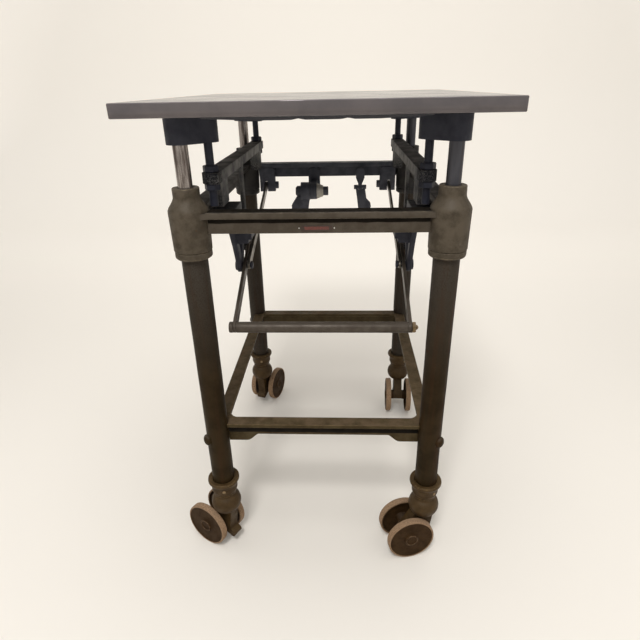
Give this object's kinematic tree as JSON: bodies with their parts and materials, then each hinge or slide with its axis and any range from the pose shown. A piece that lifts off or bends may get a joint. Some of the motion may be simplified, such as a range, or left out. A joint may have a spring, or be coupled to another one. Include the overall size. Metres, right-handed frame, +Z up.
{
  "type": "adjustable printers table",
  "caption": "Industrial printers table on twin-wheel casters: a thick metal top on guide rods in tubular legs, raised by a bail lever that lifts two slotted bars.",
  "frame": {"origin": "on the floor, midway between the four legs", "axes": "+Z up, -Y towards the bail at the front, +X to the right as seen from the front"},
  "size_m": [0.6726, 0.7968, 1.0321],
  "materials": {
    "top_steel": "dull grey, worn",
    "cast_iron": "old dark grey-brown paint, rubbed at the edges",
    "leg_paint": "old brown-black paint, rust showing through",
    "rail_iron": "old dark grey-brown paint",
    "bright_steel": "bare steel with brown streaks",
    "dark_steel": "near black, oily",
    "worn_steel": "grey-brown, worn by hands",
    "wheel_iron": "brown face, pale worn tread"
  },
  "bodies": {
    "frame": {"leg_collar_front_left": "cast_iron", "leg_collar_front_right": "cast_iron", "leg_collar_rear_left": "cast_iron", "leg_collar_rear_right": "cast_iron", "bail_hanger_left": "cast_iron", "bail_hanger_right": "cast_iron", "rear_bracket_left": "cast_iron", "rear_bracket_right": "cast_iron", "lock_bracket": "cast_iron", "release_bracket": "cast_iron", "caster_socket_front_left": "cast_iron", "caster_socket_front_right": "cast_iron", "caster_socket_rear_left": "cast_iron", "caster_socket_rear_right": "cast_iron", "leg_tube_front_left": "leg_paint", "leg_tube_front_right": "leg_paint", "leg_tube_rear_left": "leg_paint", "leg_tube_rear_right": "leg_paint", "upper_front_rail": "rail_iron", "upper_rear_rail": "rail_iron", "upper_left_rail": "rail_iron", "upper_right_rail": "rail_iron", "lower_front_rail": "rail_iron", "lower_rear_rail": "rail_iron", "lower_left_rail": "rail_iron", "lower_right_rail": "rail_iron", "stay_bar_left": "bright_steel", "stay_bar_right": "bright_steel"},
    "top": {"table_top": "top_steel", "corner_block_front_left": "cast_iron", "corner_block_front_right": "cast_iron", "corner_block_rear_left": "cast_iron", "corner_block_rear_right": "cast_iron", "lift_bar_left": "rail_iron", "lift_bar_right": "rail_iron", "guide_rod_front_left": "bright_steel", "guide_rod_front_right": "bright_steel", "guide_rod_rear_left": "bright_steel", "guide_rod_rear_right": "bright_steel", "hanger_rod_front_left": "dark_steel", "hanger_rod_front_right": "dark_steel", "hanger_rod_rear_left": "dark_steel", "hanger_rod_rear_right": "dark_steel"},
    "bail": {"bail_arm_left": "worn_steel", "bail_arm_right": "worn_steel", "bail_grip": "worn_steel"},
    "lock_lever": {"lock_lever": "cast_iron"},
    "release_lever": {"release_lever": "cast_iron"},
    "caster_front_left": {"caster_fork_front_left": "cast_iron"},
    "caster_wheel_front_left_left": {"caster_wheel_front_left_left": "wheel_iron"},
    "caster_wheel_front_left_right": {"caster_wheel_front_left_right": "wheel_iron"},
    "caster_front_right": {"caster_fork_front_right": "cast_iron"},
    "caster_wheel_front_right_left": {"caster_wheel_front_right_left": "wheel_iron"},
    "caster_wheel_front_right_right": {"caster_wheel_front_right_right": "wheel_iron"},
    "caster_rear_left": {"caster_fork_rear_left": "cast_iron"},
    "caster_wheel_rear_left_left": {"caster_wheel_rear_left_left": "wheel_iron"},
    "caster_wheel_rear_left_right": {"caster_wheel_rear_left_right": "wheel_iron"},
    "caster_rear_right": {"caster_fork_rear_right": "cast_iron"},
    "caster_wheel_rear_right_left": {"caster_wheel_rear_right_left": "wheel_iron"},
    "caster_wheel_rear_right_right": {"caster_wheel_rear_right_right": "wheel_iron"}
  },
  "joints": [
    {"name": "top_slide", "type": "slide", "parent": "frame", "child": "top", "axis": [0, 0, 1], "range_m": [-0.074, 0.03]},
    {"name": "bail_pivot", "type": "hinge", "parent": "frame", "child": "bail", "pos_m": [0, -0.075, 0.6584], "axis": [1, 0, 0], "range_deg": [-45, 18.5]},
    {"name": "lock_lever_pivot", "type": "hinge", "parent": "frame", "child": "lock_lever", "pos_m": [-0.0673, 0.2372, 0.774], "axis": [1, 0, 0], "range_deg": [-75, 30]},
    {"name": "release_lever_pivot", "type": "hinge", "parent": "frame", "child": "release_lever", "pos_m": [0.097, 0.2757, 0.7768], "axis": [1, 0, 0], "range_deg": [-30, 20]},
    {"name": "caster_swivel_front_left", "type": "hinge", "parent": "frame", "child": "caster_front_left", "pos_m": [-0.2415, -0.3075, 0.16], "axis": [0, 0, 1], "continuous": true},
    {"name": "wheel_spin_front_left_left", "type": "hinge", "parent": "caster_front_left", "child": "caster_wheel_front_left_left", "pos_m": [-0.26069, -0.25815, 0.05661], "axis": [-0.4924, -0.8704, 0], "continuous": true},
    {"name": "wheel_spin_front_left_right", "type": "hinge", "parent": "caster_front_left", "child": "caster_wheel_front_left_right", "pos_m": [-0.29368, -0.31647, 0.05661], "axis": [-0.4924, -0.8704, 0], "continuous": true},
    {"name": "caster_swivel_front_right", "type": "hinge", "parent": "frame", "child": "caster_front_right", "pos_m": [0.2415, -0.3075, 0.16], "axis": [0, 0, 1], "continuous": true},
    {"name": "wheel_spin_front_right_left", "type": "hinge", "parent": "caster_front_right", "child": "caster_wheel_front_right_left", "pos_m": [0.19385, -0.28441, 0.05661], "axis": [0.2317, -0.9728, 0], "continuous": true},
    {"name": "wheel_spin_front_right_right", "type": "hinge", "parent": "caster_front_right", "child": "caster_wheel_front_right_right", "pos_m": [0.20938, -0.34959, 0.05661], "axis": [0.2317, -0.9728, 0], "continuous": true},
    {"name": "caster_swivel_rear_left", "type": "hinge", "parent": "frame", "child": "caster_rear_left", "pos_m": [-0.2415, 0.3075, 0.16], "axis": [0, 0, 1], "continuous": true},
    {"name": "wheel_spin_rear_left_left", "type": "hinge", "parent": "caster_rear_left", "child": "caster_wheel_rear_left_left", "pos_m": [-0.19697, 0.33614, 0.05661], "axis": [-0.9511, 0.309, 0], "continuous": true},
    {"name": "wheel_spin_rear_left_right", "type": "hinge", "parent": "caster_rear_left", "child": "caster_wheel_rear_left_right", "pos_m": [-0.26069, 0.35685, 0.05661], "axis": [-0.9511, 0.309, 0], "continuous": true},
    {"name": "caster_swivel_rear_right", "type": "hinge", "parent": "frame", "child": "caster_rear_right", "pos_m": [0.2415, 0.3075, 0.16], "axis": [0, 0, 1], "continuous": true},
    {"name": "wheel_spin_rear_right_left", "type": "hinge", "parent": "caster_rear_right", "child": "caster_wheel_rear_right_left", "pos_m": [0.20659, 0.26769, 0.05661], "axis": [0.9994, -0.0349, 0], "continuous": true},
    {"name": "wheel_spin_rear_right_right", "type": "hinge", "parent": "caster_rear_right", "child": "caster_wheel_rear_right_right", "pos_m": [0.27355, 0.26536, 0.05661], "axis": [0.9994, -0.0349, 0], "continuous": true}
  ],
  "couplings": [
    {"joint": "bail_pivot", "follows": "top_slide", "rad_per_m": 10.582}
  ]
}
